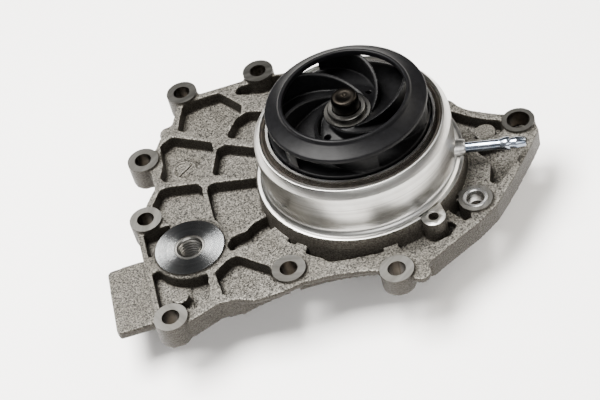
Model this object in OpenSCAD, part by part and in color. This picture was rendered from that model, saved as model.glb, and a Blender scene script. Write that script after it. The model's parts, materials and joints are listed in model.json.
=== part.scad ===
// Coolant pump of a V engine, with a vacuum-moved control sleeve around the impeller.
// Origin: pump axis, in the plane of the bolt boss tops. +Z points along the shaft to the impeller.

/* [Plate] */
// Width of the cast plate, from the tongue to the far boss
plate_w = 232; // [195:1:280]
// Length of the cast plate, from the front bosses to the rear ones
plate_l = 184; // [154:1:222]
// Depth of the plate from the boss tops to the back face
plate_depth = 14; // [12:0.5:18]
// Diameter of the bolt bosses
boss_d = 17; // [15:0.5:20]
// Diameter of the bolt holes
bolt_d = 9; // [7:0.5:10.5]
// Diameter of the turned face around the threaded insert
pad_d = 35.5; // [30:0.5:42]

/* [Spigot ring] */
// Outer diameter of the turned ring at its mouth
ring_d = 99; // [82:1:119]
// Height of the ring's mouth above the boss tops
ring_h = 35; // [30:1:42]

/* [Shaft and bearing] */
// Diameter of the shaft in the bearing
shaft_d = 16; // [13:0.5:19]
// Outer diameter of the shaft bearing
bearing_d = 30; // [26:0.5:36]
// Length of the shaft bearing
bearing_len = 34; // [26:1:42]

/* [Impeller] */
// Width of the front shroud, from the impeller's rim in to its eye
shroud_w = 9.6; // [7:0.2:12]
// Number of blades
blades = 6; // [5:1:8]

/* [Control sleeve] */
// Travel of the sleeve from open to shut, which is what it takes to cover the outlet
sleeve_travel = 10.5; // [8:0.5:13]

/* [Nipple] */
// Outer diameter of the vacuum tube
nipple_d = 5.2; // [4:0.2:7]
// Distance of the nipple's tip from the pump axis
nipple_reach = 84; // [70:1:100]

/* [Drive flange] */
// Diameter of the drive flange
flange_d = 66; // [55:1:76]
// Pitch circle of its three threaded holes
flange_pcd = 48; // [44:1:52]

/* [Hidden] */
$fn = 96;
eps = 0.05;

// plate
sx = plate_w / 232;
sy = plate_l / 184;
land_z = -2;
floor_z = -plate_depth + 4;
back_z = -plate_depth;
function at(p) = [p[0] * sx, p[1] * sy];
BOLTS = [[-35, 96], [-78.5, 97], [-107.5, 54], [-113, 11], [-111.5, -58], [-50, -50], [-0.5, -70.5]];
SLEEVE_BOSS = [48, -41.5];
TALL_BOSS = [84, 1.5];
PAD = [-94.5, -17];
LUG = ring_d / 99 * [24.5, -51];
boss_r = boss_d / 2;
bolt_r = bolt_d / 2;
pad_r = pad_d / 2;
dowel_r = bolt_r + 1.75;
insert_r = 8;
thread_r = 5.2;

// ring and the annular chamber inside it
ring_r = ring_d / 2;
bore_r = ring_r - 4.2;
collar_r = ring_r + 3.5;
base_z = 6.5;
spigot_z = 14;
chamber_z = -8;
nose_r = bearing_d / 2 + 6.5;
tower_r = bearing_d / 2 + 8;
tower_z = 22;
spigot_r = tower_r - 2;
nose_z = 6 - bearing_len - 3;

// bearing
race_r = bearing_d / 2;
shaft_r = shaft_d / 2;
bearing_top = 6;
bearing_z = bearing_top - bearing_len;
ball_gap = race_r - shaft_r;
ball_r = ball_gap / 2 - 0.35;
ball_pcr = (race_r + shaft_r) / 2 - 0.7;
ball_groove = ball_r + 0.04;
front_row = bearing_top - 9;
rear_row = bearing_z + 9;
balls = floor(180 / asin((ball_r + 0.6) / ball_pcr));

// shaft seal
seal_r = race_r + 3.2;
seal_z = bearing_top + 4;
seal_face = seal_z + 13;
neck_r = shaft_r - 1.2;

// control sleeve at rest, drawn back below the impeller's outlet
skirt_out = bore_r - 2.8;
skirt_in = skirt_out - 1.2;
skirt_top = ring_h + 1.5;
web_z = chamber_z + 1.5;
web_t = 2;
cover_t = 2;
spring_r = (tower_r + skirt_in) / 2;
spring_wire = 1.3;
spring_turns = 4;

// impeller
impeller_r = skirt_in - 1;
disc_z = ring_h + 0.3;
disc_t = 2.5;
outlet_z = disc_z + disc_t;
outlet_h = sleeve_travel - 1.5;
rim_z = outlet_z + outlet_h;
rim_t = 2.4;
eye_r = impeller_r - shroud_w;
eye_z = rim_z + rim_t + 4.6;
bush_z = disc_z - 2;
bush_top = disc_z + 10;
bush_r = neck_r + 2.9;
shaft_end = bush_top + 7.4;
hub_r = bush_r + 3.5;

// drive flange
flange_z = nose_z - 7;
flange_t = 5;
flange_r = flange_d / 2;

nipple_z = 8;
nipple_a = -15.5;
nipple_r = nipple_d / 2;

// Ring of rectangular section from radius a to radius b.
module tube(a, b, z0, z1) {
    translate([0, 0, z0])
    difference() {
        cylinder(r = b, h = z1 - z0);
        translate([0, 0, -1]) cylinder(r = a, h = z1 - z0 + 2);
    }
}

// Ring of round section.
module torus(r, w, z) {
    translate([0, 0, z])
    rotate_extrude()
    translate([r, 0])
    circle(r = w, $fn = 32);
}

// Round wire wound into an open coil between two heights.
module coil(r, w, turns, z0, z1) {
    steps = 28;
    sides = 8;
    n = ceil(turns * steps);
    rise = (z1 - z0 - 2 * w) / n;
    pts = [for (i = [0:n]) for (j = [0:sides - 1])
        let (a = 360 * i / steps, b = 360 * j / sides, q = r + w * cos(b))
        [q * cos(a), q * sin(a), z0 + w + rise * i + w * sin(b)]];
    side = [for (i = [0:n - 1]) for (j = [0:sides - 1])
        let (k = (j + 1) % sides)
        [i * sides + j, (i + 1) * sides + j, (i + 1) * sides + k, i * sides + k]];
    cap0 = [for (j = [0:sides - 1]) j];
    cap1 = [for (j = [0:sides - 1]) n * sides + sides - 1 - j];
    polyhedron(points = pts, faces = concat([cap0], side, [cap1]), convexity = 12);
}

// Outline given by its corners on the plate, with the corners rounded.
module rounded(points, r) {
    offset(r = r, $fn = 24)
    offset(delta = -r)
    scaled(points);
}

module scaled(points) {
    polygon([for (p = points) at(p)]);
}

// Plan of the cast plate without its bosses.
module plate_plan() {
    offset(r = -3, $fn = 24)
    offset(r = 3, $fn = 24)
    union() {
        scaled([[-70, 94], [-43, 94], [-18, 90], [12, 71], [38, 51], [57, 31], [59, 26], [63, 21],
            [70, 16], [76, 12], [84, 8], [92, 2], [92, -7], [86, -15], [70, -34], [57, -48], [45, -56],
            [27, -65], [14, -72], [-9, -67], [-14, -65], [-30, -61], [-45, -60], [-58, -62], [-70, -62],
            [-78, -58], [-88, -57], [-104, -63], [-119, -56], [-119, 9], [-110, 25], [-105, 33],
            [-105, 43], [-100, 61], [-97, 67], [-88, 77], [-84, 87], [-80, 94]]);
        for (p = concat(BOLTS, [TALL_BOSS])) translate(at(p)) circle(r = boss_r - 0.7);
        translate(at([-91.5, 71.5])) circle(r = 4);
        translate(at([10, -75])) circle(r = 5);
        circle(r = collar_r - 1);
    }
}

// Plan of all the hollows between the ribs.
module pocket_plan() {
    rounded([[-86, 70], [-80, 88], [-71, 90], [-59, 90], [-49, 75], [-51, 69], [-62, 60], [-66, 60]], 2.5);
    rounded([[-51, 85], [-48, 90], [-24, 90], [-20, 77], [-36, 77], [-46, 83]], 2);
    rounded([[-97, 63], [-90, 67], [-70, 54], [-70, 47], [-78, 42], [-86, 34], [-99, 35], [-101, 39],
        [-98, 47]], 2.5);
    rounded([[-62, 54], [-54, 66], [-47, 69], [-36, 64], [-34, 51], [-46, 46]], 2.5);
    rounded([[-74, 30], [-68, 48], [-63, 49], [-45, 38], [-49, 22], [-70, 28]], 2.5);
    rounded([[-109, 19], [-103, 30], [-99, 31], [-83, 27], [-81, 23], [-83, 3], [-100, 0]], 2.5);
    rounded([[-79, 17], [-78, 23], [-75, 24], [-51, 18], [-51, -5], [-60, -9], [-73, -13], [-79, -1]], 2.5);
    rounded([[-116, 4], [-98, 4], [-98, -14], [-116, -14]], 2);
    rounded([[-116, -24], [-116, -50], [-103, -56], [-91, -54], [-89, -34], [-98, -28]], 2);
    rounded([[-87, -38], [-78, -31], [-73, -30], [-59, -43], [-57, -54], [-70, -56], [-85, -52]], 2.5);
    rounded([[50, 26], [55, 23], [62, 16], [70, 10], [76, 7], [75, -1], [66, -3], [50, 3]], 2.5);
    rounded([[57, -7], [76, -7], [85, -9], [83, -14], [70, -28], [62, -35], [58, -33], [63, -19]], 2.5);
    rounded([[30, -36], [38, -35], [42, -43], [43, -51], [39, -52], [34, -43]], 1.5);
    moat_plan();
}

// Wavy channel which runs round the front of the collar.
module moat_plan() {
    rounded([[-76, -22], [-73, -17], [-65, -16], [-60, -12], [-46, -8], [-30, -20], [-10, -30], [-2, -40],
        [-3, -56], [-20, -54], [-30, -52], [-33, -48], [-40, -42], [-38, -38], [-46, -32], [-49, -19],
        [-54, -19], [-61, -25], [-71, -25], [-75, -26]], 1.5);
}

module plate() {
    difference() {
        translate([0, 0, back_z]) linear_extrude(land_z - back_z) plate_plan();
        translate([0, 0, floor_z]) linear_extrude(plate_depth) pocket_plan();
        // Shallow dish to the right of the front boss.
        translate([0, 0, land_z - 4]) linear_extrude(8)
            rounded([[3, -51], [18, -47], [28, -48], [36, -52],
                [30, -58], [20, -60], [14, -61], [6, -60]], 3);
        // Relief under the front edge.
        translate([-45 * sx, -175 * sy, back_z - 1]) cylinder(r = 121 * sy, h = plate_depth - 5 + 1);
        translate([0, 0, back_z - 1]) cylinder(r = bore_r + 1.5, h = plate_depth + 2);
    }
    // Tongue at the left.
    translate([0, 0, back_z]) linear_extrude(5)
        rounded([[-140, -51], [-100, -51], [-100, -8], [-139, -8.5]], 3);
    // Low ring cast into the floor of the left pocket.
    translate(concat(at([-88, 47]), [floor_z - 0.5])) tube(5.6, 7, 0, 1.1);
    // Round pads.
    for (p = [[-105, -44, 4.4], [66.5, 3.5, 5.6], [-91.5, 71.5, 4.6]])
        translate(concat(at(p), [back_z])) cylinder(r = p[2], h = plate_depth - 3.2);
    // Rib below the threaded pad.
    translate([0, 0, back_z]) linear_extrude(land_z - back_z)
        scaled([[-89, -30], [-86, -30], [-84, -54], [-88, -54]]);
}

module bosses() {
    for (p = [BOLTS[0], BOLTS[1], BOLTS[2], BOLTS[3], BOLTS[4], SLEEVE_BOSS, TALL_BOSS])
        translate(concat(at(p), [back_z]))
        cylinder(r = boss_r, h = plate_depth);
    // The two front bosses stop short of the back face.
    translate(concat(at(BOLTS[5]), [-6])) cylinder(r = boss_r, h = 6);
    translate(concat(at(BOLTS[6]), [-11])) cylinder(r = boss_r, h = 11);
    translate(concat(at(PAD), [back_z])) {
        cylinder(r = pad_r, h = plate_depth);
        cylinder(r = pad_r + 1.5, h = plate_depth - 1.5);
    }
}

// Collar, turned ring, chamber floor, seal tower and bearing nose: one turned profile.
module ring_body() {
    rotate_extrude()
    polygon([[race_r - 3, chamber_z], [race_r - 3, tower_z + 4.5], [spigot_r, tower_z + 4.5],
        [spigot_r, tower_z], [tower_r, tower_z], [tower_r, chamber_z], [bore_r, chamber_z],
        [bore_r, ring_h - 0.8], [bore_r + 0.6, ring_h], [bore_r + 1.4, ring_h], [ring_r, ring_h - 4],
        [ring_r, spigot_z], [ring_r - 0.6, spigot_z - 0.6],
        [ring_r - 0.6, base_z + 3], [ring_r + 0.4, base_z + 1.2], [ring_r + 1.6, base_z],
        [collar_r, base_z], [collar_r + 0.6, base_z - 1], [collar_r + 1.2, back_z],
        [nose_r + 3, back_z], [nose_r, back_z - 3], [nose_r, nose_z], [race_r - 3, nose_z]]);
}

// Lug beside the ring, with the hole for the oil way.
module lug() {
    translate([0, 0, back_z]) linear_extrude(base_z - back_z)
    union() {
        translate(LUG) circle(r = 6);
        polygon([LUG + [-5.8, -1], LUG + [-8, 7], LUG + [6, 10], LUG + [5.8, -1]]);
    }
}

// Turned boss on the ring which the nipple is pressed into.
module nipple_boss() {
    rotate([0, 0, nipple_a])
    translate([ring_r - 2, 0, nipple_z])
    rotate([0, 90, 0])
    cylinder(r1 = nipple_r + 2.8, r2 = nipple_r + 1.5, h = 7.5);
}

module housing() {
    color([0.66, 0.64, 0.6])
    difference() {
        union() {
            plate();
            bosses();
            lug();
            nipple_boss();
            ring_body();
            for (a = [90, 210, 330])
                rotate([0, 0, a]) translate([nose_r - 2, -2.5, back_z - 7]) cube([16, 5, 8]);
        }
        for (p = concat(BOLTS, [SLEEVE_BOSS, TALL_BOSS]))
            translate(concat(at(p), [back_z - 1])) cylinder(r = bolt_r, h = plate_depth + 2);
        translate(concat(at(SLEEVE_BOSS), [-8])) cylinder(r = dowel_r, h = 12);
        translate(concat(at(TALL_BOSS), [-10])) cylinder(r = bolt_r + 1.4, h = 12);
        translate(concat(at(PAD), [back_z - 1])) cylinder(r = insert_r, h = plate_depth + 2);
        translate(concat(LUG, [back_z - 1])) cylinder(r = 2.6, h = base_z - back_z + 2);
        // Bearing seat, leak chamber, seal seat.
        translate([0, 0, nose_z - 1]) cylinder(r = race_r, h = bearing_top - nose_z + 1);
        translate([0, 0, nose_z + 0.8]) cylinder(r = race_r + 0.9, h = 1.4);
        translate([0, 0, bearing_top - 1]) cylinder(r = race_r - 1.6, h = 4);
        translate([0, 0, bearing_top + 1.5]) cylinder(r = race_r + 2.2, h = 3);
        translate([0, 0, seal_z]) cylinder(r = seal_r, h = 40);
        // Snap ring groove of the cover.
        translate([0, 0, tower_z + cover_t + eps]) tube(spigot_r - 0.9, spigot_r + 1, 0, 1.3);
        // Weep way: down the tower wall, then out to the front of the nose.
        rotate([0, 0, 270]) {
            translate([race_r + 2.7, 0, back_z - 4]) cylinder(r = 1.1, h = plate_depth + 4 + bearing_top + 3);
            translate([race_r + 2, 0, back_z - 4]) rotate([0, 90, 0]) cylinder(r = 1.1, h = 10);
            translate([nose_r - 1.6, 0, back_z - 4]) rotate([0, 90, 0]) cylinder(r = 3, h = 20);
        }
        // Vacuum way through the ring wall, and the drilling beside the lug.
        rotate([0, 0, nipple_a]) translate([bore_r - 1, 0, nipple_z]) rotate([0, 90, 0]) {
            cylinder(r = 1.5, h = 10);
            translate([0, 0, 3.5]) cylinder(r = nipple_r, h = 12);
        }
        rotate([0, 0, -61]) translate([ring_r + 1, 0, base_z + 3.4]) rotate([0, -50, 0])
            translate([0, 0, -1.5]) cylinder(r = 1.9, h = 5, center = true);
    }
}

// Threaded bush in the big turned pad.
module threaded_insert() {
    color([0.62, 0.62, 0.64])
    translate(at(PAD))
    difference() {
        translate([0, 0, back_z]) cylinder(r = insert_r, h = plate_depth - 0.1);
        translate([0, 0, back_z - 1]) cylinder(r = thread_r, h = plate_depth + 2);
        translate([0, 0, -1]) cylinder(r1 = thread_r - 0.2, r2 = thread_r + 1, h = 1.2);
    }
}

module locating_sleeve() {
    color([0.75, 0.75, 0.76])
    translate(at(SLEEVE_BOSS)) tube(bolt_r, dowel_r, -7, 0.6);
}

// Pressed tube with a barb and a tapered tip.
module vacuum_nipple() {
    root = bore_r + 2.5;
    len = nipple_reach - root;
    color([0.55, 0.6, 0.66])
    rotate([0, 0, nipple_a])
    translate([root, 0, nipple_z])
    rotate([0, 90, 0])
    rotate_extrude()
    polygon([[1.5, 0], [nipple_r, 0], [nipple_r, len - 12.5], [nipple_r + 0.9, len - 10],
        [nipple_r + 0.9, len - 8], [nipple_r - 0.1, len - 8], [nipple_r - 0.1, len - 7],
        [nipple_r + 0.5, len - 4.5], [nipple_r - 0.5, len], [1.5, len]]);
}

// Felt plug in the mouth of the weep way.
module weep_plug() {
    color([0.3, 0.3, 0.28])
    rotate([0, 0, 270])
    translate([nose_r - 1.6, 0, back_z - 4])
    rotate([0, 90, 0])
    cylinder(r = 3, h = 1.2);
}

module race_grooves() {
    torus(ball_pcr, ball_groove, front_row);
    torus(ball_pcr, ball_groove, rear_row);
}

module bearing_outer_ring() {
    color([0.7, 0.7, 0.72])
    difference() {
        tube(race_r - 2, race_r, bearing_z, bearing_top);
        race_grooves();
    }
}

module bearing_retaining_ring() {
    color([0.35, 0.35, 0.36])
    difference() {
        tube(race_r - 2.2, race_r + 0.85, nose_z + 0.85, nose_z + 2.15);
        rotate([0, 0, 20]) translate([race_r - 4, -3, nose_z]) cube([8, 6, 4]);
    }
}

module ball_row(z) {
    color([0.8, 0.8, 0.82])
    for (i = [0:balls - 1]) rotate([0, 0, i * 360 / balls])
        translate([ball_pcr, 0, z]) sphere(r = ball_r, $fn = 48);
}

module front_balls() ball_row(front_row);
module rear_balls() ball_row(rear_row);

// Ring of pockets which keeps the balls apart.
module cage(z) {
    color([0.76, 0.7, 0.5])
    difference() {
        tube(ball_pcr - 0.8, ball_pcr + 0.8, z - ball_r - 1.2, z + ball_r * 0.5);
        for (i = [0:balls - 1]) rotate([0, 0, i * 360 / balls]) {
            translate([ball_pcr, 0, z]) sphere(r = ball_r + 0.1, $fn = 48);
            translate([ball_pcr, 0, z]) cylinder(r = ball_r * 0.8, h = ball_r + 1);
        }
    }
}

module front_cage() cage(front_row);
module rear_cage() cage(rear_row);

module bearing_seal(z) {
    color([0.15, 0.15, 0.16])
    tube(shaft_r + eps, race_r - 2, z, z + 1.4);
}

module front_bearing_seal() bearing_seal(bearing_top - 1.9);
module rear_bearing_seal() bearing_seal(bearing_z + 0.5);

// Stepped shaft, which is also the inner race of the bearing.
module shaft() {
    color([0.5, 0.47, 0.44])
    difference() {
        rotate_extrude()
        polygon([[0, flange_z + 1.5], [shaft_r - 0.8, flange_z + 1.5], [shaft_r, flange_z + 2.3],
            [shaft_r, bush_z], [neck_r, bush_z], [neck_r, shaft_end - 1.2], [neck_r - 1.2, shaft_end],
            [0, shaft_end]]);
        race_grooves();
        translate([0, 0, shaft_end - 1]) cylinder(r1 = 0.2, r2 = 1.4, h = 1.2);
    }
}

// Pressed-on hub with three threaded holes and a pilot for the belt pulley.
module drive_flange() {
    color([0.42, 0.42, 0.44])
    difference() {
        union() {
            translate([0, 0, flange_z]) cylinder(r = flange_r, h = flange_t);
            translate([0, 0, flange_z]) cylinder(r = shaft_r + 5.5, h = 6.4);
        }
        translate([0, 0, flange_z - 1]) cylinder(r = shaft_r - 1, h = 10);
        translate([0, 0, flange_z + 1.5]) cylinder(r = shaft_r, h = 10);
        for (a = [90, 210, 330]) rotate([0, 0, a])
            translate([flange_pcd / 2, 0, flange_z - 1]) cylinder(r = 3.4, h = flange_t + 2);
        for (a = [30, 150, 270]) rotate([0, 0, a])
            translate([flange_pcd / 2 + 1, 0, flange_z - 1]) cylinder(r = 5, h = flange_t + 2);
    }
}

// Brass cup pressed into the tower, which holds the fixed seal parts.
module seal_case() {
    color([0.78, 0.64, 0.32])
    rotate_extrude()
    polygon([[shaft_r + 1.5, seal_z], [seal_r, seal_z], [seal_r, seal_z + 9], [seal_r - 0.8, seal_z + 9],
        [seal_r - 0.8, seal_z + 0.8], [shaft_r + 1.5, seal_z + 0.8]]);
}

// Rubber bellows between the cup and the carbon ring.
module seal_bellows() {
    color([0.12, 0.12, 0.12])
    rotate_extrude()
    polygon([[shaft_r + 2, seal_z + 0.85], [seal_r - 1.2, seal_z + 0.85], [seal_r - 1.2, seal_z + 2],
        [shaft_r + 3.4, seal_z + 2], [shaft_r + 4.2, seal_z + 4], [shaft_r + 3.2, seal_z + 6],
        [shaft_r + 5, seal_z + 7.2], [shaft_r + 5, seal_z + 8], [shaft_r + 1, seal_z + 8],
        [shaft_r + 1, seal_z + 7], [shaft_r + 2, seal_z + 5.8], [shaft_r + 3, seal_z + 4],
        [shaft_r + 2, seal_z + 2]]);
}

module seal_spring() {
    color([0.7, 0.7, 0.72])
    coil(shaft_r + 6.2, 0.5, 4, seal_z + 2.1, seal_z + 8.2);
}

module carbon_ring() {
    color([0.16, 0.16, 0.18])
    rotate_extrude()
    polygon([[shaft_r + 1, seal_z + 8.05], [shaft_r + 4.9, seal_z + 8.05], [shaft_r + 4.9, seal_z + 8.3],
        [shaft_r + 7.2, seal_z + 8.3], [shaft_r + 7.2, seal_z + 9.5], [shaft_r + 5, seal_z + 10],
        [shaft_r + 4.4, seal_face - 0.02], [shaft_r + 1.6, seal_face - 0.02]]);
}

module mating_ring() {
    color([0.86, 0.85, 0.8])
    tube(shaft_r + 1.2, shaft_r + 6, seal_face, seal_face + 3.4);
}

// Rubber-lined cup which drives the mating ring from the shaft.
module mating_ring_holder() {
    color([0.3, 0.3, 0.32])
    rotate_extrude()
    polygon([[shaft_r, seal_face + 0.4], [shaft_r + 1.2, seal_face + 0.4], [shaft_r + 1.2, seal_face + 3.4],
        [shaft_r + 6, seal_face + 3.4], [shaft_r + 6, seal_face + 1], [shaft_r + 7, seal_face + 1],
        [shaft_r + 7, seal_face + 4.6], [shaft_r, seal_face + 4.6]]);
}

// Fixed plate which closes the vacuum chamber above the piston.
module chamber_cover() {
    color([0.58, 0.6, 0.62])
    rotate_extrude()
    polygon([[spigot_r, tower_z], [skirt_in - 1.5, tower_z], [skirt_in - 1.5, tower_z + cover_t],
        [spigot_r, tower_z + cover_t]]);
}

module cover_seal() {
    color([0.14, 0.13, 0.12])
    rotate_extrude()
    polygon([[skirt_in - 1.5, tower_z - 1], [skirt_in - 0.6, tower_z - 1], [skirt_in - eps, tower_z - 0.4],
        [skirt_in - eps, tower_z + cover_t + 0.4], [skirt_in - 0.6, tower_z + cover_t + 1],
        [skirt_in - 1.5, tower_z + cover_t + 1]]);
}

module cover_snap_ring() {
    color([0.4, 0.4, 0.42])
    difference() {
        tube(spigot_r - 0.85, spigot_r + 1.6, tower_z + cover_t + eps, tower_z + cover_t + 1.2);
        rotate([0, 0, 200]) translate([spigot_r - 2, -3, tower_z]) cube([6, 6, 5]);
    }
}

// Dark rubber ring in the ring's mouth which wipes the skirt.
module sleeve_wiper() {
    color([0.2, 0.15, 0.11])
    rotate_extrude()
    polygon([[skirt_out + eps, ring_h - 8], [bore_r, ring_h - 8], [bore_r, ring_h - 1.2],
        [bore_r - 0.9, ring_h - 0.6], [skirt_out + 0.9, ring_h - 2.2], [skirt_out + eps, ring_h - 3]]);
}

// Skirt and annular piston, drawn from one sheet, with vent windows low in the skirt.
module control_sleeve() {
    color([0.62, 0.63, 0.64])
    difference() {
        rotate_extrude()
        polygon([[tower_r + 2.2, web_z], [skirt_out, web_z], [skirt_out, skirt_top], [skirt_in, skirt_top],
            [skirt_in, web_z + web_t], [tower_r + 3.4, web_z + web_t], [tower_r + 3.4, web_z + 5],
            [tower_r + 2.2, web_z + 5]]);
        for (a = [0:60:300]) rotate([0, 0, a + 15])
            translate([skirt_in - 1, 0, web_z + 6]) rotate([0, 90, 0]) cylinder(r = 1.5, h = 4);
    }
}

module piston_outer_seal() {
    color([0.13, 0.13, 0.13])
    rotate_extrude()
    polygon([[skirt_out, web_z], [bore_r - 0.6, web_z], [bore_r - eps, web_z + 0.8],
        [bore_r - eps, web_z + 2.6], [bore_r - 0.6, web_z + 3.4], [skirt_out, web_z + 3.4]]);
}

module piston_guide_ring() {
    color([0.85, 0.84, 0.8])
    tube(tower_r + eps, tower_r + 2.2, web_z, web_z + 5);
}

module return_spring() {
    color([0.66, 0.66, 0.68])
    coil(spring_r, spring_wire, spring_turns, web_z + web_t + 0.05, tower_z - 0.05);
}

// Region between back disc and shroud, for trimming the blades.
module blade_space() {
    rotate_extrude()
    polygon([[hub_r - 1, outlet_z - 0.5], [impeller_r - 0.3, outlet_z - 0.5], [impeller_r - 0.3, rim_z],
        [eye_r, eye_z - 3.2], [hub_r + 8, outlet_z + 9], [hub_r - 1, outlet_z + 5]]);
}

// One backward-curved blade, cut from the wall of a tube that stands off the axis.
module blade() {
    bend = impeller_r * 0.66;
    translate([0, 0, outlet_z - 1])
    difference() {
        translate([impeller_r * 0.4, 0, 0]) tube(bend - 0.9, bend + 0.9, 0, 24);
        translate([-2 * bend, 0, -1]) cube([4 * bend, 2 * bend, 26]);
    }
}

// Moulded back disc, blades and hub.
module impeller() {
    color([0.08, 0.08, 0.09])
    difference() {
        union() {
            rotate_extrude()
            polygon([[bush_r, disc_z - 1.5], [hub_r, disc_z - 1.5], [hub_r + 3, disc_z],
                [impeller_r, disc_z], [impeller_r, outlet_z], [hub_r + 9, outlet_z + 0.4],
                [hub_r + 2, outlet_z + 2.5], [hub_r - 1, outlet_z + 4], [bush_r, outlet_z + 4]]);
            intersection() {
                blade_space();
                for (i = [0:blades - 1]) rotate([0, 0, 1.5 + i * 360 / blades]) blade();
            }
        }
        translate([0, 0, disc_z - 5]) cylinder(r = bush_r, h = 40);
        for (a = [40, 220]) rotate([0, 0, a])
            translate([hub_r + 4.3, 0, disc_z - 3]) cylinder(r = 1.5, h = 12);
    }
}

// Front shroud: a shallow cone with a lip round the eye.
module impeller_shroud() {
    color([0.1, 0.1, 0.11])
    rotate_extrude()
    polygon([[impeller_r, rim_z + 0.05], [impeller_r, rim_z + rim_t - 0.5], [impeller_r - 0.6, rim_z + rim_t],
        [eye_r + 2.4, eye_z - 1.4], [eye_r + 2.2, eye_z - 0.4], [eye_r + 1.6, eye_z], [eye_r + 0.4, eye_z],
        [eye_r, eye_z - 0.4], [eye_r, eye_z - 3.1]]);
}

module impeller_bush() {
    color([0.72, 0.71, 0.68])
    difference() {
        rotate_extrude()
        polygon([[neck_r, bush_z], [bush_r, bush_z], [bush_r, outlet_z + 4], [bush_r + 2, outlet_z + 4],
            [bush_r + 2, outlet_z + 5], [bush_r, outlet_z + 5], [bush_r, bush_top - 0.5],
            [bush_r - 0.5, bush_top], [neck_r, bush_top]]);
        tube(bush_r - 0.5, bush_r + 1, outlet_z + 5.4, outlet_z + 6);
    }
}

housing();
threaded_insert();
locating_sleeve();
vacuum_nipple();
weep_plug();
bearing_outer_ring();
bearing_retaining_ring();
front_balls();
rear_balls();
front_cage();
rear_cage();
front_bearing_seal();
rear_bearing_seal();
shaft();
drive_flange();
seal_case();
seal_bellows();
seal_spring();
carbon_ring();
mating_ring();
mating_ring_holder();
chamber_cover();
cover_seal();
cover_snap_ring();
sleeve_wiper();
control_sleeve();
piston_outer_seal();
piston_guide_ring();
return_spring();
impeller();
impeller_shroud();
impeller_bush();
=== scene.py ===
import json
import math

import bpy
from mathutils import Matrix, Vector


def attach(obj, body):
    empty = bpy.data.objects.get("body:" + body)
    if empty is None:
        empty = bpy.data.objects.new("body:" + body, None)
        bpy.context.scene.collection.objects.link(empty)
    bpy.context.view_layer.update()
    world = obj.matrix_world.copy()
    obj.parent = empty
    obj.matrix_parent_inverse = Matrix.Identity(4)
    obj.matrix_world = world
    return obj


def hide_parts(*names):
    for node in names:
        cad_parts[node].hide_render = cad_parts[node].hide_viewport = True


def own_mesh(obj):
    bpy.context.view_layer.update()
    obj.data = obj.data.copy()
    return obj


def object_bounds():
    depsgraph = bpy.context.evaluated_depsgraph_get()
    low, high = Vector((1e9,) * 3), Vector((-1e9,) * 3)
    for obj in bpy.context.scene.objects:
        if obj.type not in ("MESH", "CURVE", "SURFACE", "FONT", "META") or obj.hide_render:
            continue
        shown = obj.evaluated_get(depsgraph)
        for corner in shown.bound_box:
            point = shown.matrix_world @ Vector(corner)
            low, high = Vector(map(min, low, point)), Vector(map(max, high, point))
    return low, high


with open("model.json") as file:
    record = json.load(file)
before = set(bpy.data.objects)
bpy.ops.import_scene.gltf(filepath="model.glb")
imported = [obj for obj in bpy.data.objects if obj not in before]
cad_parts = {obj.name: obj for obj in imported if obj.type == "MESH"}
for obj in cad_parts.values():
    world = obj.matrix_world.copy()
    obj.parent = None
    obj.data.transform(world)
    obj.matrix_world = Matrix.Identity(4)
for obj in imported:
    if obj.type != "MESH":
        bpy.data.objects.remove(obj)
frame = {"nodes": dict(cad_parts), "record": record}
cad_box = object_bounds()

# ---------------------------------------------------------------------------
# Camera, table and studio light. The pump lies on its hub on a white table,
# seen from above the front edge, with a large soft light overhead.
# ---------------------------------------------------------------------------
MM = 0.001
collection = bpy.context.scene.collection

camera_data = bpy.data.cameras.new("camera")
camera_data.sensor_width = 36
camera_data.lens = 98.87
camera_data.clip_start = 0.05
camera_data.clip_end = 10
camera = bpy.data.objects.new("camera", camera_data)
collection.objects.link(camera)
across = Vector((0.956547, -0.219692, -0.191711))
down = Vector((-0.29115, -0.684049, -0.668811))
ahead = Vector((0.015793, 0.695566, -0.718289))
place = Vector((-0.047723, -0.587148, 0.597992))
camera.matrix_world = Matrix((
    (across.x, -down.x, -ahead.x, place.x),
    (across.y, -down.y, -ahead.y, place.y),
    (across.z, -down.z, -ahead.z, place.z),
    (0, 0, 0, 1)))
bpy.context.scene.camera = camera


def node(tree, kind, x=0, **inputs):
    made = tree.nodes.new(kind)
    made.location = (x, 0)
    for name, value in inputs.items():
        made.inputs[name.replace("_", " ")].default_value = value
    return made


def new_material(name):
    made = bpy.data.materials.new(name)
    made.use_nodes = True
    return made, made.node_tree, made.node_tree.nodes["Principled BSDF"]


table_z = cad_box[0][2]
bpy.ops.mesh.primitive_plane_add(size=5, location=(0, 0, table_z))
table = bpy.context.object
table.name = "table"
table_paint, tree, shader = new_material("table_paint")
shader.inputs["Base Color"].default_value = (0.97, 0.955, 0.94, 1)
shader.inputs["Roughness"].default_value = 0.6
table.data.materials.append(table_paint)


def area_light(name, energy, size, place, aim, colour=(1, 1, 1)):
    lamp = bpy.data.lights.new(name, "AREA")
    lamp.energy = energy
    lamp.shape = "RECTANGLE"
    lamp.size = size[0]
    lamp.size_y = size[1]
    lamp.color = colour
    made = bpy.data.objects.new(name, lamp)
    made.location = place
    made.rotation_euler = (Vector(aim) - Vector(place)).to_track_quat("-Z", "Y").to_euler()
    collection.objects.link(made)


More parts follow.
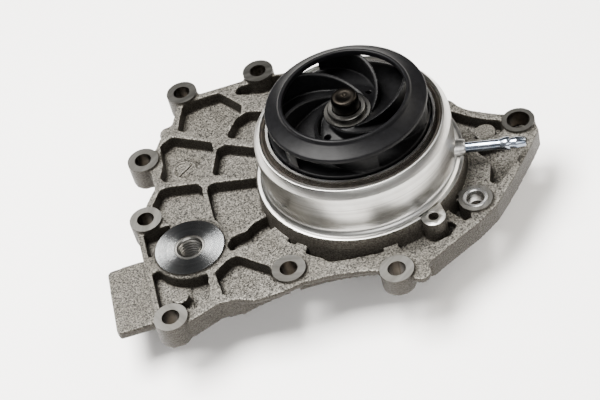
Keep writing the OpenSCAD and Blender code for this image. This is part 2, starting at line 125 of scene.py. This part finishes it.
area_light("overhead", 62, (0.7, 0.5), (-0.30, 0.10, 0.95), (0, 0, 0), (1, 0.985, 0.96))
area_light("front_fill", 12, (1.2, 0.5), (0.1, -1.1, 0.75), (0, 0, 0), (1, 0.99, 0.98))
area_light("right_window", 9, (0.35, 0.7), (0.85, 0.15, 0.55), (0.02, 0, 0), (1, 0.95, 0.86))
world = bpy.data.worlds.new("studio")
world.use_nodes = True
tree = world.node_tree
where = node(tree, "ShaderNodeTexCoord")
split = node(tree, "ShaderNodeSeparateXYZ")
ramp = node(tree, "ShaderNodeValToRGB")
ramp.color_ramp.elements[0].position = 0.10
ramp.color_ramp.elements[0].color = (1.0, 0.99, 0.98, 1)
ramp.color_ramp.elements[1].position = 0.85
ramp.color_ramp.elements[1].color = (0.30, 0.30, 0.31, 1)
span = node(tree, "ShaderNodeMapRange")
span.inputs["From Min"].default_value = -1
span.inputs["From Max"].default_value = 1
tree.links.new(where.outputs["Generated"], split.inputs[0])
tree.links.new(split.outputs["Y"], span.inputs["Value"])
tree.links.new(span.outputs[0], ramp.inputs["Fac"])
tree.links.new(ramp.outputs["Color"], tree.nodes["Background"].inputs["Color"])
tree.nodes["Background"].inputs["Strength"].default_value = 0.32
bpy.context.scene.world = world

# ---------------------------------------------------------------------------
# Cast plate. Die-cast aluminium, shot blasted, with ribs between open pockets.
# The boss tops are faced in one cut, the big pad is turned, the holes drilled.
# ---------------------------------------------------------------------------
bolt_holes = ((-35, 96), (-78.5, 97), (-107.5, 54), (-113, 11), (-111.5, -58), (-50, -50), (-0.5, -70.5))
sleeve_hole = (48, -41.5)
tall_hole = (84, 1.5)
pad = (-94.5, -17)
pad_r = 17.75
insert_r = 8
collar_r = 54.2
bolt_r = 4.5
sleeve_seat_r = 6.25
tall_counterbore_r = 5.9
facing_stock = 0.9
sand_voxel = 0.7
kept_faces = 0.42
cutter_centre = (-40, -20)


def only(piece):
    bpy.ops.object.select_all(action="DESELECT")
    piece.select_set(True)
    bpy.context.view_layer.objects.active = piece


def apply_modifier(piece, kind, **settings):
    made = piece.modifiers.new("step", kind)
    for name, value in settings.items():
        setattr(made, name, value)
    only(piece)
    bpy.ops.object.modifier_apply(modifier="step")


def copy_of(node_name, name):
    made = bpy.data.objects.new(name, frame["nodes"][node_name].data.copy())
    made.data.materials.clear()
    collection.objects.link(made)
    only(made)
    bpy.ops.object.mode_set(mode="EDIT")
    bpy.ops.mesh.select_all(action="SELECT")
    bpy.ops.mesh.remove_doubles(threshold=0.002 * MM)
    bpy.ops.object.mode_set(mode="OBJECT")
    return made


def cut(piece, tool):
    apply_modifier(piece, "BOOLEAN", object=tool, operation="DIFFERENCE", solver="MANIFOLD")
    bpy.data.objects.remove(tool)


def drill(x, y, r, z0, z1):
    bpy.ops.mesh.primitive_cylinder_add(vertices=64, radius=r * MM, depth=(z1 - z0) * MM,
                                        location=(x * MM, y * MM, (z0 + z1) / 2 * MM))
    return bpy.context.object


def smooth(piece, degrees=35):
    only(piece)
    bpy.ops.object.shade_smooth_by_angle(angle=math.radians(degrees))


def place_piece(piece, body, slot, *replaced):
    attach(piece, body)
    if replaced:
        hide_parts(*replaced)


def ramp_node(tree, low, high, low_at=0.0, high_at=1.0):
    made = node(tree, "ShaderNodeValToRGB")
    made.color_ramp.elements[0].position = low_at
    made.color_ramp.elements[0].color = (*low, 1)
    made.color_ramp.elements[1].position = high_at
    made.color_ramp.elements[1].color = (*high, 1)
    return made


def mix_colour(tree, factor, a, b, blend="MIX"):
    made = tree.nodes.new("ShaderNodeMix")
    made.data_type = "RGBA"
    made.blend_type = blend
    for socket, value in ((made.inputs[0], factor), (made.inputs[6], a), (made.inputs[7], b)):
        if hasattr(value, "is_linked"):
            tree.links.new(value, socket)
        else:
            socket.default_value = value
    return made.outputs[2]


def grain(tree, scale, detail=3.0, roughness=0.6):
    where = node(tree, "ShaderNodeTexCoord")
    made = node(tree, "ShaderNodeTexNoise", Scale=scale, Detail=detail, Roughness=roughness)
    tree.links.new(where.outputs["Object"], made.inputs["Vector"])
    return made.outputs["Fac"]


def bump(tree, shader, height, distance, strength):
    made = node(tree, "ShaderNodeBump", Distance=distance, Strength=strength)
    tree.links.new(height, made.inputs["Height"])
    tree.links.new(made.outputs["Normal"], shader.inputs["Normal"])
    return made


def cast_finish():
    made, tree, shader = new_material("cast_aluminium")
    speck = ramp_node(tree, (0.004, 0.0038, 0.0034), (0.165, 0.159, 0.145), 0.38, 0.68)
    tree.links.new(grain(tree, 1250, 2.5, 0.7), speck.inputs["Fac"])
    patch = ramp_node(tree, (0.80, 0.78, 0.74), (1.0, 0.99, 0.97), 0.35, 0.65)
    tree.links.new(grain(tree, 45, 3.0), patch.inputs["Fac"])
    colour = mix_colour(tree, 1.0, speck.outputs["Color"], patch.outputs["Color"], "MULTIPLY")
    # Upright walls are painted dark brown by their steepness: painted shade where the overhead light misses
    # them, with a warm brown tint of the cast skin.
    face = node(tree, "ShaderNodeNewGeometry")
    split = node(tree, "ShaderNodeSeparateXYZ")
    tree.links.new(face.outputs["Normal"], split.inputs[0])
    upright_wall_shade = node(tree, "ShaderNodeMapRange")
    upright_wall_shade.inputs["From Min"].default_value = 0.25
    upright_wall_shade.inputs["From Max"].default_value = 0.85
    upright_wall_shade.inputs["To Min"].default_value = 0.8
    upright_wall_shade.inputs["To Max"].default_value = 0.0
    tree.links.new(split.outputs["Z"], upright_wall_shade.inputs["Value"])
    colour = mix_colour(tree, upright_wall_shade.outputs[0], colour, (0.012, 0.0098, 0.007, 1))
    # Convex edges are lightened as rubbed wear; concave corners are darkened as painted shade.
    edge = ramp_node(tree, (0.55, 0.53, 0.50), (2.1, 2.1, 2.1), 0.44, 0.60)
    tree.links.new(face.outputs["Pointiness"], edge.inputs["Fac"])
    colour = mix_colour(tree, 1.0, colour, edge.outputs["Color"], "MULTIPLY")
    tree.links.new(colour, shader.inputs["Base Color"])
    shader.inputs["Metallic"].default_value = 0.75
    rough = node(tree, "ShaderNodeMapRange")
    rough.inputs["To Min"].default_value = 0.62
    rough.inputs["To Max"].default_value = 0.40
    tree.links.new(grain(tree, 900, 2.0), rough.inputs["Value"])
    tree.links.new(rough.outputs[0], shader.inputs["Roughness"])
    bump(tree, shader, grain(tree, 1150, 3.0, 0.7), 0.0006, 0.75)
    return made


def turned_finish(name, colours, roughness, centre=(0, 0), anisotropy=0.7, pitch=9000.0, depth=0.00003,
                  strength=0.25):
    """Fine circular tool marks around an upright axis at centre."""
    made, tree, shader = new_material(name)
    where = node(tree, "ShaderNodeTexCoord")
    shift = node(tree, "ShaderNodeMapping")
    shift.inputs["Location"].default_value = (-centre[0] * MM, -centre[1] * MM, 0)
    tree.links.new(where.outputs["Object"], shift.inputs["Vector"])
    split = node(tree, "ShaderNodeSeparateXYZ")
    tree.links.new(shift.outputs[0], split.inputs[0])
    flat = node(tree, "ShaderNodeCombineXYZ")
    tree.links.new(split.outputs["X"], flat.inputs["X"])
    tree.links.new(split.outputs["Y"], flat.inputs["Y"])
    radius = node(tree, "ShaderNodeVectorMath")
    radius.operation = "LENGTH"
    tree.links.new(flat.outputs[0], radius.inputs[0])
    outward = node(tree, "ShaderNodeVectorMath")
    outward.operation = "NORMALIZE"
    tree.links.new(flat.outputs[0], outward.inputs[0])
    tangent = node(tree, "ShaderNodeVectorMath")
    tangent.operation = "CROSS_PRODUCT"
    tangent.inputs[0].default_value = (0, 0, 1)
    tree.links.new(outward.outputs[0], tangent.inputs[1])
    rings = node(tree, "ShaderNodeCombineXYZ")
    tree.links.new(radius.outputs["Value"], rings.inputs["X"])
    tree.links.new(split.outputs["Z"], rings.inputs["Y"])
    marks = node(tree, "ShaderNodeTexNoise", Scale=pitch, Detail=2.0, Roughness=0.7)
    tree.links.new(rings.outputs[0], marks.inputs["Vector"])
    bands = node(tree, "ShaderNodeTexNoise", Scale=pitch / 12, Detail=3.0, Roughness=0.6)
    tree.links.new(rings.outputs[0], bands.inputs["Vector"])
    tone = ramp_node(tree, colours[0], colours[1], 0.3, 0.7)
    tree.links.new(bands.outputs["Fac"], tone.inputs["Fac"])
    stain = ramp_node(tree, (0.86, 0.85, 0.83), (1, 1, 1), 0.40, 0.60)
    tree.links.new(grain(tree, 60, 4.0), stain.inputs["Fac"])
    colour = mix_colour(tree, 1.0, tone.outputs["Color"], stain.outputs["Color"], "MULTIPLY")
    tree.links.new(colour, shader.inputs["Base Color"])
    shader.inputs["Metallic"].default_value = 1.0
    rough = node(tree, "ShaderNodeMapRange")
    rough.inputs["To Min"].default_value = roughness * 0.75
    rough.inputs["To Max"].default_value = roughness * 1.3
    tree.links.new(marks.outputs["Fac"], rough.inputs["Value"])
    tree.links.new(rough.outputs[0], shader.inputs["Roughness"])
    if anisotropy:
        shader.inputs["Anisotropic"].default_value = anisotropy
        tree.links.new(tangent.outputs[0], shader.inputs["Tangent"])
    bump(tree, shader, marks.outputs["Fac"], depth, strength)
    return made


cast = cast_finish()
milled = turned_finish("milled_boss_tops", ((0.055, 0.054, 0.050), (0.115, 0.112, 0.105)), 0.42,
                       cutter_centre, 0.3, 3000.0)
pad_face = turned_finish("turned_pad_face", ((0.15, 0.156, 0.162), (0.27, 0.278, 0.282)), 0.24,
                         pad, 0.9, 6000.0)
# Drill-hole walls are coloured near-black brown: painted shade inside the holes, over real drilling marks.
shaded_bore_walls = turned_finish("drilled_walls_painted_shade", ((0.012, 0.009, 0.006), (0.036, 0.029, 0.021)), 0.42,
                      (0, 0), 0.0, 2500.0)

plate = copy_of("housing", "cast_plate")
for v in plate.data.vertices:
    if abs(v.co.z) < 0.02 * MM and v.co.xy.length > 54.8 * MM:
        v.co.z += facing_stock * MM  # stock on the boss tops, for the facing cut
apply_modifier(plate, "REMESH", mode="VOXEL", voxel_size=sand_voxel * MM)
apply_modifier(plate, "SMOOTH", factor=0.5, iterations=4)
apply_modifier(plate, "DECIMATE", ratio=kept_faces)
cut(plate, drill(0, 0, collar_r, -13, 40))
bpy.ops.mesh.primitive_cube_add(size=1, location=(-0.02, 0.01, 0.01), scale=(0.3, 0.3, 0.02))
cut(plate, bpy.context.object)
for x, y in bolt_holes:
    cut(plate, drill(x, y, bolt_r, -20, 5))
cut(plate, drill(*sleeve_hole, bolt_r, -20, 5))
cut(plate, drill(*sleeve_hole, sleeve_seat_r, -8, 5))
cut(plate, drill(*tall_hole, bolt_r, -20, 5))
cut(plate, drill(*tall_hole, tall_counterbore_r, -10, 5))
cut(plate, drill(*pad, insert_r, -20, 5))
plate.data.materials.clear()
for finish in (cast, milled, pad_face, shaded_bore_walls):
    plate.data.materials.append(finish)
holes = [(x, y, bolt_r) for x, y in bolt_holes + (sleeve_hole, tall_hole)]
holes += [(*sleeve_hole, sleeve_seat_r), (*tall_hole, tall_counterbore_r)]
for face in plate.data.polygons:
    x, y, z = face.center / MM
    if z > -0.02 and face.normal.z > 0.98:
        face.material_index = 2 if math.hypot(x - pad[0], y - pad[1]) < pad_r + 1.5 else 1
    elif abs(face.normal.z) < 0.2:
        # Walls of the drilled holes take the finish with painted shade.
        if any(abs(math.hypot(x - a, y - b) - r) < 0.12 for a, b, r in holes):
            face.material_index = 3
smooth(plate, 38)
place_piece(plate, "pump_housing", "cast_aluminium", "housing")

# ---------------------------------------------------------------------------
# Spigot ring, collar, chamber floor and seal tower: the middle of the same
# casting, turned bright all over, with a broad chamfer round the ring's mouth.
# ---------------------------------------------------------------------------


def turned(name, profile, closed=True, segments=160, at=(0, 0)):
    """A profile of (radius, height) carried round an upright axis, ring by ring."""
    bpy.ops.object.select_all(action="DESELECT")
    bpy.ops.mesh.primitive_circle_add(vertices=segments, radius=profile[0][0] * MM,
                                      location=(at[0] * MM, at[1] * MM, profile[0][1] * MM))
    made = bpy.context.object
    made.name = made.data.name = name
    bpy.ops.object.mode_set(mode="EDIT")
    bpy.ops.mesh.select_all(action="SELECT")
    if not closed:
        bpy.ops.mesh.edge_face_add()
        bpy.ops.mesh.select_all(action="SELECT")
    points = list(profile) + ([profile[0]] if closed else [])
    extrude = bpy.ops.mesh.extrude_edges_move if closed else bpy.ops.mesh.extrude_region_move
    for (r0, z0), (r1, z1) in zip(points, points[1:]):
        extrude(TRANSFORM_OT_translate={"value": (0, 0, (z1 - z0) * MM)})
        bpy.ops.transform.resize(value=(r1 / r0, r1 / r0, 1),
                                 center_override=(at[0] * MM, at[1] * MM, z1 * MM))
    bpy.ops.mesh.select_all(action="SELECT")
    bpy.ops.mesh.remove_doubles(threshold=0.001 * MM)
    bpy.ops.mesh.normals_make_consistent(inside=False)
    bpy.ops.object.mode_set(mode="OBJECT")
    bpy.ops.object.transform_apply(location=True, rotation=True, scale=True)
    return made


ring_bright = turned_finish("turned_ring", ((0.30, 0.30, 0.29), (0.50, 0.495, 0.48)), 0.30,
                            (0, 0), 0.75, 7000.0)
ring = turned("spigot_ring", (
    (15, -13.1), (15, 6), (13.4, 6), (13.4, 10), (18.2, 10), (18.2, 26.5), (21, 26.5), (21, 22), (23, 22),
    (23, -7.4), (23.6, -8), (44.7, -8), (45.3, -7.4), (45.3, 34.2), (45.5, 34.65), (45.9, 35), (46.5, 35),
    (46.75, 34.93), (49.45, 31.15), (49.5, 30.9), (49.5, 14), (48.9, 13.4), (48.9, 9.5), (49.3, 8.4),
    (50.1, 7.2), (51.3, 6.5), (52.6, 6.5), (53.05, 6.3), (53.6, 5.4), (54.4, -13.1)))
ring.data.materials.append(ring_bright)
ring.data.materials.append(cast)
for face in ring.data.polygons:
    face.material_index = 1 if face.center.xy.length > 53.0 * MM else 0
smooth(ring, 30)
place_piece(ring, "pump_housing", "cast_aluminium")

# ---------------------------------------------------------------------------
# Oil-way lug beside the ring. Part of the casting, faced level with the
# collar, with a plain drilled hole.
# ---------------------------------------------------------------------------
lug_at = (24.5, -51)
bpy.ops.object.select_all(action="DESELECT")
bpy.ops.mesh.primitive_cylinder_add(vertices=64, radius=6 * MM, depth=20 * MM,
                                    location=(lug_at[0] * MM, lug_at[1] * MM, -3.5 * MM))
lug = bpy.context.object
lug.name = "oil_lug"
bpy.ops.object.transform_apply(location=True)
bpy.ops.object.mode_set(mode="EDIT")
bpy.ops.mesh.select_all(action="DESELECT")
bpy.ops.object.mode_set(mode="OBJECT")
for face in lug.data.polygons:
    face.select = abs(face.normal.z) < 0.1 and face.normal.y > 0.15
bpy.ops.object.mode_set(mode="EDIT")
bpy.ops.mesh.extrude_region_move(TRANSFORM_OT_translate={"value": (-1.5 * MM, 5.5 * MM, 0)})
bpy.ops.transform.resize(value=(1.25, 1, 1), center_override=(lug_at[0] * MM, lug_at[1] * MM, 0))
bpy.ops.object.mode_set(mode="OBJECT")
cut(lug, drill(*lug_at, 2.6, -20, 10))
apply_modifier(lug, "BEVEL", width=0.3 * MM, segments=2, limit_method="ANGLE", angle_limit=math.radians(50))
lug.data.materials.clear()
lug.data.materials.append(cast)
lug.data.materials.append(ring_bright)
for face in lug.data.polygons:
    face.material_index = 1 if face.normal.z > 0.9 else 0
smooth(lug, 30)
place_piece(lug, "pump_housing", "cast_aluminium")

# ---------------------------------------------------------------------------
# Foundry dials. A low ring with a bar across it is cast into the left pocket,
# and a worn ring of dots stands on the land in front.
# ---------------------------------------------------------------------------
dial_at = (-88, 47)
dial = turned("dial_ring", (
    (5.3, -10.3), (5.45, -9.3), (5.75, -9.1), (6.35, -9.1), (6.65, -9.3), (6.8, -10.3)),
              segments=64, at=dial_at)
dial.data.materials.append(cast)
smooth(dial, 50)
place_piece(dial, "pump_housing", "cast_aluminium")
bpy.ops.mesh.primitive_cube_add(size=1, location=(dial_at[0] * MM, dial_at[1] * MM, -9.7 * MM),
                                rotation=(0, 0, math.radians(38)),
                                scale=(11.2 * MM, 1.3 * MM, 1.1 * MM))
bar = bpy.context.object
bar.name = "dial_bar"
bpy.ops.object.transform_apply(location=True, rotation=True, scale=True)
apply_modifier(bar, "BEVEL", width=0.3 * MM, segments=2)
bar.data.materials.append(cast)
smooth(bar, 50)
place_piece(bar, "pump_housing", "cast_aluminium")
stamp_at = (-57, -29.5)
dots = 12
dot_circle_r = 3.6
stamp = turned("stamp_ring", (
    (4.9, -2.3), (4.95, -1.75), (5.15, -1.65), (5.45, -1.65), (5.6, -1.75), (5.65, -2.3)),
               segments=64, at=stamp_at)
for k in range(dots):
    angle = math.radians(360 / dots * k)
    dot_x = stamp_at[0] + dot_circle_r * math.cos(angle)
    dot_y = stamp_at[1] + dot_circle_r * math.sin(angle)
    bpy.ops.object.select_all(action="DESELECT")
    bpy.ops.mesh.primitive_uv_sphere_add(segments=10, ring_count=6, radius=0.45 * MM,
                                         location=(dot_x * MM, dot_y * MM, -2.0 * MM))
    stamp.select_set(True)
    bpy.context.view_layer.objects.active = stamp
    bpy.ops.object.join()
stamp.data.materials.append(cast)
smooth(stamp, 50)
place_piece(stamp, "pump_housing", "cast_aluminium")

# ---------------------------------------------------------------------------
# Threaded bush pressed into the turned pad. Steel, with a coarse metric
# thread cut right through and a chamfer at its mouth.
# ---------------------------------------------------------------------------
steel_bright = turned_finish("turned_steel", ((0.12, 0.118, 0.112), (0.22, 0.216, 0.205)), 0.30,
                             pad, 0.6, 6000.0)
bush = turned("thread_bush", ((7.95, -13.95), (7.95, -0.25), (7.75, -0.1), (6.75, -0.1), (6.05, -0.85),
                              (6.05, -13.6), (6.5, -13.95)), segments=96, at=pad)
bush.data.materials.append(steel_bright)
smooth(bush, 30)
place_piece(bush, "pump_housing", "turned_steel", "threaded_insert")
thread_pitch = 1.75
thread_turns = 7
bpy.ops.object.select_all(action="DESELECT")
bpy.ops.mesh.primitive_circle_add(vertices=4, radius=1 * MM, location=(0, 0, 0))
thread = bpy.context.object
thread.name = "bush_thread"
section = ((6.15, -0.8), (5.25, -0.15), (5.25, 0.15), (6.15, 0.8))
for v, (r, z) in zip(thread.data.vertices, section):
    v.co = (r * MM, 0, (z - 13.1) * MM)
apply_modifier(thread, "SCREW", axis="Z", angle=math.radians(360), screw_offset=thread_pitch * MM,
               iterations=thread_turns, steps=64, render_steps=64, use_merge_vertices=True,
               merge_threshold=0.001 * MM)
bpy.ops.object.mode_set(mode="EDIT")
bpy.ops.mesh.select_all(action="DESELECT")
bpy.ops.mesh.select_non_manifold()
bpy.ops.mesh.edge_face_add()
bpy.ops.mesh.select_all(action="SELECT")
bpy.ops.mesh.normals_make_consistent(inside=False)
bpy.ops.transform.translate(value=(pad[0] * MM, pad[1] * MM, 0))
bpy.ops.object.mode_set(mode="OBJECT")
thread.data.materials.append(steel_bright)
smooth(thread, 35)
place_piece(thread, "pump_housing", "turned_steel")

# ---------------------------------------------------------------------------
# Locating sleeve in the front right boss. Thin turned steel tube, chamfered
# at both ends, standing just proud of the boss.
# ---------------------------------------------------------------------------
sleeve_steel = turned_finish("dowel_steel", ((0.52, 0.52, 0.52), (0.70, 0.70, 0.69)), 0.27,
                             sleeve_hole, 0.5, 5000.0)
dowel = turned("dowel_sleeve", ((4.5, -7), (4.5, 0.2), (4.85, 0.6), (5.9, 0.6), (6.22, 0.2), (6.22, -7)),
               segments=96, at=sleeve_hole)
dowel.data.materials.append(sleeve_steel)
smooth(dowel, 30)
place_piece(dowel, "pump_housing", "turned_steel", "locating_sleeve")

# ---------------------------------------------------------------------------
# Vacuum nipple. Blue zinc-plated steel tube pressed into a small turned boss
# on the ring, with a barb and a tapered tip for the hose.
# ---------------------------------------------------------------------------


def plated_finish():
    made, tree, shader = new_material("blue_zinc")
    tone = ramp_node(tree, (0.15, 0.18, 0.23), (0.32, 0.35, 0.40), 0.35, 0.65)
    tree.links.new(grain(tree, 220, 3.0), tone.inputs["Fac"])
    tree.links.new(tone.outputs["Color"], shader.inputs["Base Color"])
    shader.inputs["Metallic"].default_value = 1.0
    rough = node(tree, "ShaderNodeMapRange")
    rough.inputs["To Min"].default_value = 0.12
    rough.inputs["To Max"].default_value = 0.30
    tree.links.new(grain(tree, 500, 3.0), rough.inputs["Value"])
    tree.links.new(rough.outputs[0], shader.inputs["Roughness"])
    bump(tree, shader, grain(tree, 2500, 2.0), 0.00004, 0.2)
    return made


def lay_out(piece, angle, z):
    turn = Matrix.Translation((0, 0, z * MM)) @ Matrix.Rotation(math.radians(angle), 4, "Z") \
        @ Matrix.Rotation(math.radians(90), 4, "Y")
    piece.data.transform(turn)


nipple_angle = -15.5
nipple_z = 8
zinc = plated_finish()
nipple = turned("hose_nipple", (
    (1.5, 47.8), (2.6, 47.8), (2.6, 71.2), (2.75, 71.5), (3.4, 73.8), (3.5, 74.1), (3.5, 75.8),
    (3.4, 76), (2.5, 76), (2.5, 77), (3.0, 79.2), (3.0, 79.6), (2.2, 83.7), (2.0, 84),
    (1.6, 84)), segments=64)
lay_out(nipple, nipple_angle, nipple_z)
nipple.data.materials.append(zinc)
smooth(nipple, 30)
place_piece(nipple, "pump_housing", "plated_steel", "vacuum_nipple")
boss = turned("nipple_boss", (
    (2.62, 48.5), (5.1, 48.5), (4.25, 53.4), (4.0, 53.9), (3.3, 54.1), (2.62, 54.1)), segments=64)
lay_out(boss, nipple_angle, nipple_z)
boss.data.materials.append(ring_bright)
smooth(boss, 30)
place_piece(boss, "pump_housing", "cast_aluminium")

# ---------------------------------------------------------------------------
# Shaft and impeller bush. The ground shaft has gone brown from handling, its
# end is chamfered and centre-drilled; the bush is turned, with a snap groove.
# ---------------------------------------------------------------------------
shaft_dark = turned_finish("shaft_steel", ((0.006, 0.0052, 0.0045), (0.018, 0.0155, 0.013)), 0.36,
                           (0, 0), 0.4, 5000.0)
bush_steel = turned_finish("bush_steel", ((0.075, 0.074, 0.07), (0.15, 0.147, 0.14)), 0.28,
                           (0, 0), 0.5, 4000.0)
shaft = turned("pump_shaft", (
    (0.4, -36.5), (7.2, -36.5), (8, -35.7), (8, 33.3), (6.8, 33.3), (6.8, 50.6), (6.75, 51),
    (6.3, 51.9), (5.9, 52.4), (5.5, 52.6), (3.6, 52.68), (3.2, 52.5), (1.5, 52.45), (1.3, 52.3),
    (0.2, 51.4)), closed=False, segments=96)
shaft.data.materials.append(shaft_dark)
smooth(shaft, 30)
place_piece(shaft, "rotor", "dark_steel", "shaft")
collar = turned("bush_collar", (
    (6.85, 33.3), (9.7, 33.3), (9.7, 41.8), (11.6, 41.8), (11.7, 41.9), (11.7, 42.7), (11.6, 42.8),
    (9.7, 42.8),
    (9.7, 43.2), (9.2, 43.2), (9.2, 43.8), (9.7, 43.8), (9.7, 44.7), (9.55, 45), (9.2, 45.3), (7.3, 45.3),
    (6.85, 44.9)), segments=96)
collar.data.materials.append(bush_steel)
smooth(collar, 30)
place_piece(collar, "rotor", "turned_steel", "impeller_bush")

# ---------------------------------------------------------------------------
# Impeller body. Black glass-filled plastic, moulded in one piece: back disc,
# hub and six blades that curve back, with small fillets everywhere.
# ---------------------------------------------------------------------------


def plastic_finish(name, low, high, roughness, ring_marks=0.0):
    made, tree, shader = new_material(name)
    tone = ramp_node(tree, low, high, 0.3, 0.75)
    tree.links.new(grain(tree, 350, 4.0, 0.7), tone.inputs["Fac"])
    dust = ramp_node(tree, (0, 0, 0), (1, 1, 1), 0.70, 0.80)
    tree.links.new(grain(tree, 1500, 1.0), dust.inputs["Fac"])
    colour = mix_colour(tree, dust.outputs["Color"], tone.outputs["Color"], (0.010, 0.010, 0.011, 1))
    shader.inputs["Specular IOR Level"].default_value = 0.07
    tree.links.new(colour, shader.inputs["Base Color"])
    rough = node(tree, "ShaderNodeMapRange")
    rough.inputs["To Min"].default_value = roughness * 0.8
    rough.inputs["To Max"].default_value = roughness * 1.25
    tree.links.new(grain(tree, 120, 3.0), rough.inputs["Value"])
    tree.links.new(rough.outputs[0], shader.inputs["Roughness"])
    height = grain(tree, 2200, 2.0)
    if ring_marks:
        where = node(tree, "ShaderNodeTexCoord")
        split = node(tree, "ShaderNodeSeparateXYZ")
        flat = node(tree, "ShaderNodeCombineXYZ")
        radius = node(tree, "ShaderNodeVectorMath")
        radius.operation = "LENGTH"
        marks = node(tree, "ShaderNodeTexNoise", Scale=ring_marks, Detail=2.0)
        marks.noise_dimensions = "1D"
        both = node(tree, "ShaderNodeMath")
        both.operation = "ADD"
        tree.links.new(where.outputs["Object"], split.inputs[0])
        tree.links.new(split.outputs["X"], flat.inputs["X"])
        tree.links.new(split.outputs["Y"], flat.inputs["Y"])
        tree.links.new(flat.outputs[0], radius.inputs[0])
        tree.links.new(radius.outputs["Value"], marks.inputs["W"])
        tree.links.new(marks.outputs["Fac"], both.inputs[0])
        tree.links.new(height, both.inputs[1])
        height = both.outputs[0]
    bump(tree, shader, height, 0.00006, 0.35)
    return made


black_body = plastic_finish("impeller_plastic", (0.0012, 0.0012, 0.0013), (0.003, 0.003, 0.0033), 0.40)
body = copy_of("impeller", "impeller_body")
apply_modifier(body, "REMESH", mode="VOXEL", voxel_size=0.4 * MM)
apply_modifier(body, "SMOOTH", factor=0.5, iterations=4)
apply_modifier(body, "DECIMATE", ratio=0.5)
body.data.materials.append(black_body)
smooth(body, 45)
place_piece(body, "rotor", "black_plastic", "impeller")

# ---------------------------------------------------------------------------
# Front shroud. Black plastic cone welded to the blade tips, with a rounded
# lip round the eye and faint ring marks from its mould.
# ---------------------------------------------------------------------------
black_ring = plastic_finish("shroud_plastic", (0.0016, 0.0016, 0.0018), (0.004, 0.004, 0.0046), 0.38, 2600.0)
shroud = turned("front_shroud", (
    (40.25, 46.85), (40.3, 47.1), (40.3, 48.5), (40.15, 48.85), (39.7, 49.15), (39.2, 49.3), (33.6, 51.95),
    (33.15, 52.3), (32.9, 52.9), (32.7, 53.4), (32.2, 53.75), (31.6, 53.8), (31.1, 53.75),
    (30.8, 53.45), (30.7, 53.0),
    (30.7, 51.1), (30.75, 50.75)))
shroud.data.materials.append(black_ring)
smooth(shroud, 40)
place_piece(shroud, "rotor", "black_plastic", "impeller_shroud")

# ---------------------------------------------------------------------------
# Finishes of the control sleeve and its wiper, which show in the ring's mouth,
# and of the bearing, seal and actuator pieces inside.
# ---------------------------------------------------------------------------


def soft_finish(name, low, high, roughness, metallic=0.0, scale=400.0, depth=0.00008):
    made, tree, shader = new_material(name)
    shader.inputs["Specular IOR Level"].default_value = 0.3
    tone = ramp_node(tree, low, high, 0.3, 0.7)
    tree.links.new(grain(tree, scale, 4.0, 0.6), tone.inputs["Fac"])
    tree.links.new(tone.outputs["Color"], shader.inputs["Base Color"])
    shader.inputs["Metallic"].default_value = metallic
    rough = node(tree, "ShaderNodeMapRange")
    rough.inputs["To Min"].default_value = roughness * 0.8
    rough.inputs["To Max"].default_value = min(1.0, roughness * 1.25)
    tree.links.new(grain(tree, scale * 0.4, 3.0), rough.inputs["Value"])
    tree.links.new(rough.outputs[0], shader.inputs["Roughness"])
    bump(tree, shader, grain(tree, scale * 4, 2.0), depth, 0.3)
    return made


drawn = turned_finish("drawn_steel", ((0.48, 0.475, 0.46), (0.66, 0.655, 0.64)), 0.26, (0, 0), 0.4, 4000.0)
brown = soft_finish("brown_rubber", (0.007, 0.0055, 0.0045), (0.022, 0.018, 0.014), 0.45, 0.0)
inner_finishes = {
    "felt": soft_finish("felt", (0.06, 0.06, 0.055), (0.16, 0.15, 0.14), 0.95, 0.0, 900.0, 0.0003),
    "bearing_steel": turned_finish("bearing_steel", ((0.62, 0.62, 0.63), (0.78, 0.78, 0.79)), 0.14,
                                   (0, 0), 0.0, 5000.0),
    "spring_steel": soft_finish("spring_steel", (0.28, 0.28, 0.29), (0.46, 0.46, 0.47), 0.30, 1.0),
    "cage_nylon": soft_finish("cage_nylon", (0.50, 0.44, 0.29), (0.62, 0.56, 0.38), 0.45),
    "black_rubber": soft_finish("black_rubber", (0.012, 0.012, 0.012), (0.03, 0.03, 0.03), 0.6),
    "forged_steel": turned_finish("flange_steel", ((0.22, 0.215, 0.21), (0.36, 0.355, 0.35)), 0.36,
                                  (0, 0), 0.5, 3000.0),
    "seal_brass": turned_finish("seal_brass", ((0.52, 0.36, 0.13), (0.68, 0.50, 0.22)), 0.25,
                                (0, 0), 0.3, 4000.0),
    "carbon": soft_finish("carbon", (0.018, 0.018, 0.02), (0.04, 0.04, 0.042), 0.42),
    "ceramic": soft_finish("ceramic", (0.70, 0.69, 0.64), (0.80, 0.79, 0.75), 0.2),
    "ptfe": soft_finish("ptfe", (0.66, 0.65, 0.61), (0.78, 0.77, 0.73), 0.5),
    "plated_steel": zinc,
    "sheet_steel": drawn,
    "brown_rubber": brown,
}

# ---------------------------------------------------------------------------
# Return spring. Round spring wire in four open turns, between the sleeve's
# web and the chamber cover.
# ---------------------------------------------------------------------------
spring = copy_of("return_spring", "sleeve_spring")
spring.data.materials.append(inner_finishes["spring_steel"])
smooth(spring, 50)
place_piece(spring, "pump_housing", "spring_steel", "return_spring")
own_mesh(spring)

# ---------------------------------------------------------------------------
# Remaining pieces. They keep the shape they were drawn with, and each gets
# the finish of its own material.
# ---------------------------------------------------------------------------
slot_of = {part["node"]: part["material_slot"] for part in frame["record"]["subparts"]}
rebuilt = {"return_spring", "housing", "threaded_insert", "locating_sleeve", "vacuum_nipple", "shaft",
           "impeller_bush", "impeller", "impeller_shroud"}
for name, part in frame["nodes"].items():
    if name not in rebuilt:
        part.data.materials.clear()
        part.data.materials.append(inner_finishes[slot_of[name]])
